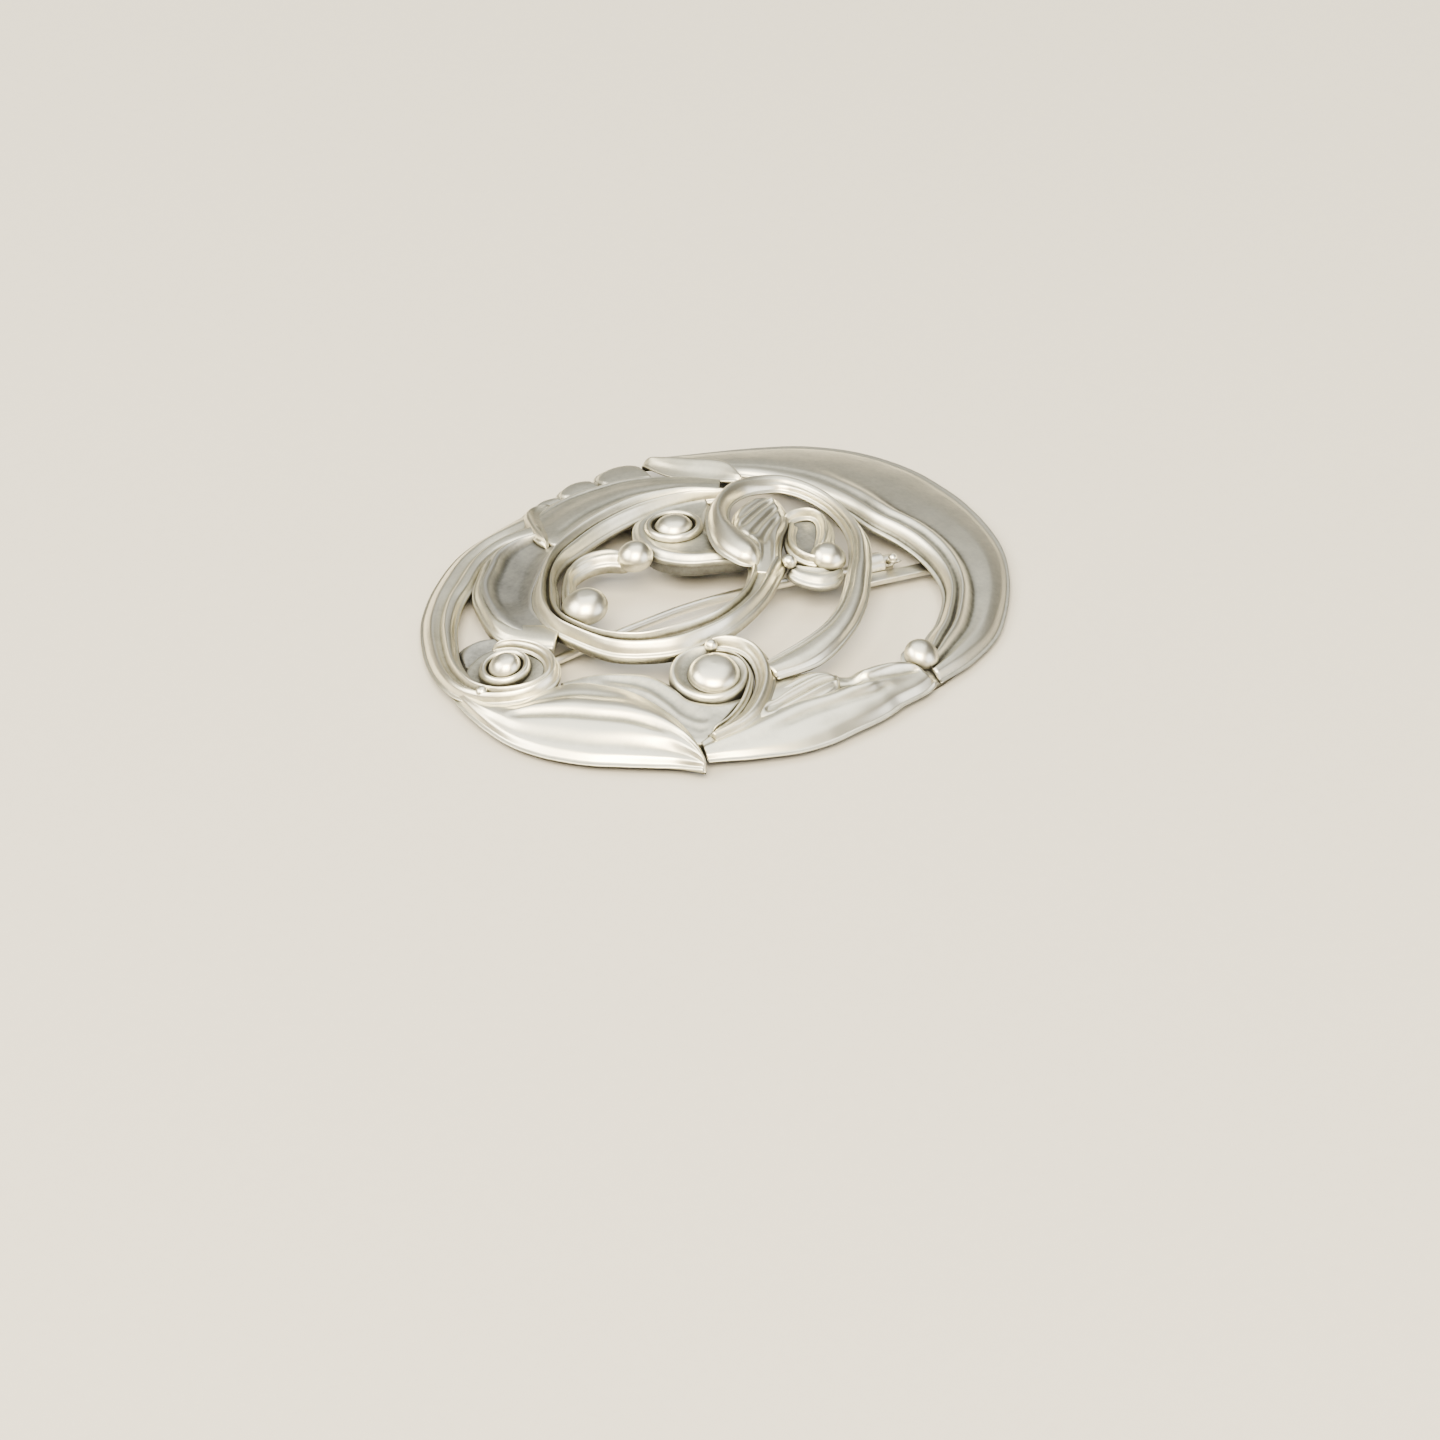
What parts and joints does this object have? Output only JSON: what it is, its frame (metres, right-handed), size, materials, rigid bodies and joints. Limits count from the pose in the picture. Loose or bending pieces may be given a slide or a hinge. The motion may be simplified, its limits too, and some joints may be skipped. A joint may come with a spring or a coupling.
{
  "type": "brooch",
  "caption": "Domed oval openwork brooch of scrolling leaves, tendrils, beads and a flower bud, with a hinged pin and a roll-over safety catch on its back.",
  "frame": {"origin": "centre of the oval, on the plane of the rim's underside", "axes": "+X along the oval's long axis, from the hinge towards the catch; +Y along its short axis; +Z out of the face"},
  "size_m": [0.056, 0.046, 0.0064],
  "materials": {
    "polished_relief": "silver relief, rubbed bright on the crests",
    "satin_ground": "silver ground, satin and lightly tarnished",
    "oxidised_hollow": "silver hollow, oxidised dark grey",
    "drawn_fittings": "drawn silver wire and tube, worn smooth"
  },
  "bodies": {
    "brooch": {"crescent_band": "satin_ground", "fold_leaf": "polished_relief", "top_leaf": "satin_ground", "leaf_tip_1": "satin_ground", "leaf_tip_2": "satin_ground", "leaf_tip_3": "satin_ground", "hollow_petal": "oxidised_hollow", "large_leaf": "polished_relief", "inner_lobe": "satin_ground", "lower_leaf": "polished_relief", "end_collar": "satin_ground", "loop_stem": "polished_relief", "outer_tendril": "polished_relief", "left_stem": "polished_relief", "inner_tendril": "polished_relief", "lower_scroll": "polished_relief", "bud_fan": "polished_relief", "bud_lip": "polished_relief", "bud_under_petal": "satin_ground", "cup": "oxidised_hollow", "berry": "polished_relief", "drop": "polished_relief", "end_bead": "polished_relief", "cup_bead": "polished_relief", "cup_ring": "polished_relief", "upper_volute_dish": "satin_ground", "upper_volute_ring": "polished_relief", "upper_volute_bead": "polished_relief", "upper_volute_hood": "oxidised_hollow", "lower_volute_dish": "satin_ground", "lower_volute_bead": "polished_relief", "lower_volute_knob": "polished_relief", "hinge_plate": "drawn_fittings", "hinge_knuckle_near": "drawn_fittings", "hinge_knuckle_far": "drawn_fittings", "hinge_rivet": "drawn_fittings", "catch_barrel": "drawn_fittings", "catch_strip": "drawn_fittings"},
    "pin": {"pin_knuckle": "drawn_fittings", "pin_stem": "drawn_fittings"},
    "catch_lock": {"catch_sleeve": "drawn_fittings", "catch_lever": "drawn_fittings"}
  },
  "joints": [
    {"name": "pin_hinge", "type": "hinge", "parent": "brooch", "child": "pin", "pos_m": [-0.0203, 0.0041, 0.0008], "axis": [0.225, 0.9744, 0], "range_deg": [0, 100]},
    {"name": "catch_roll", "type": "hinge", "parent": "brooch", "child": "catch_lock", "pos_m": [0.0128, -0.0066, 0.00125], "axis": [-0.9063, 0.4226, 0], "range_deg": [0, 90]}
  ]
}
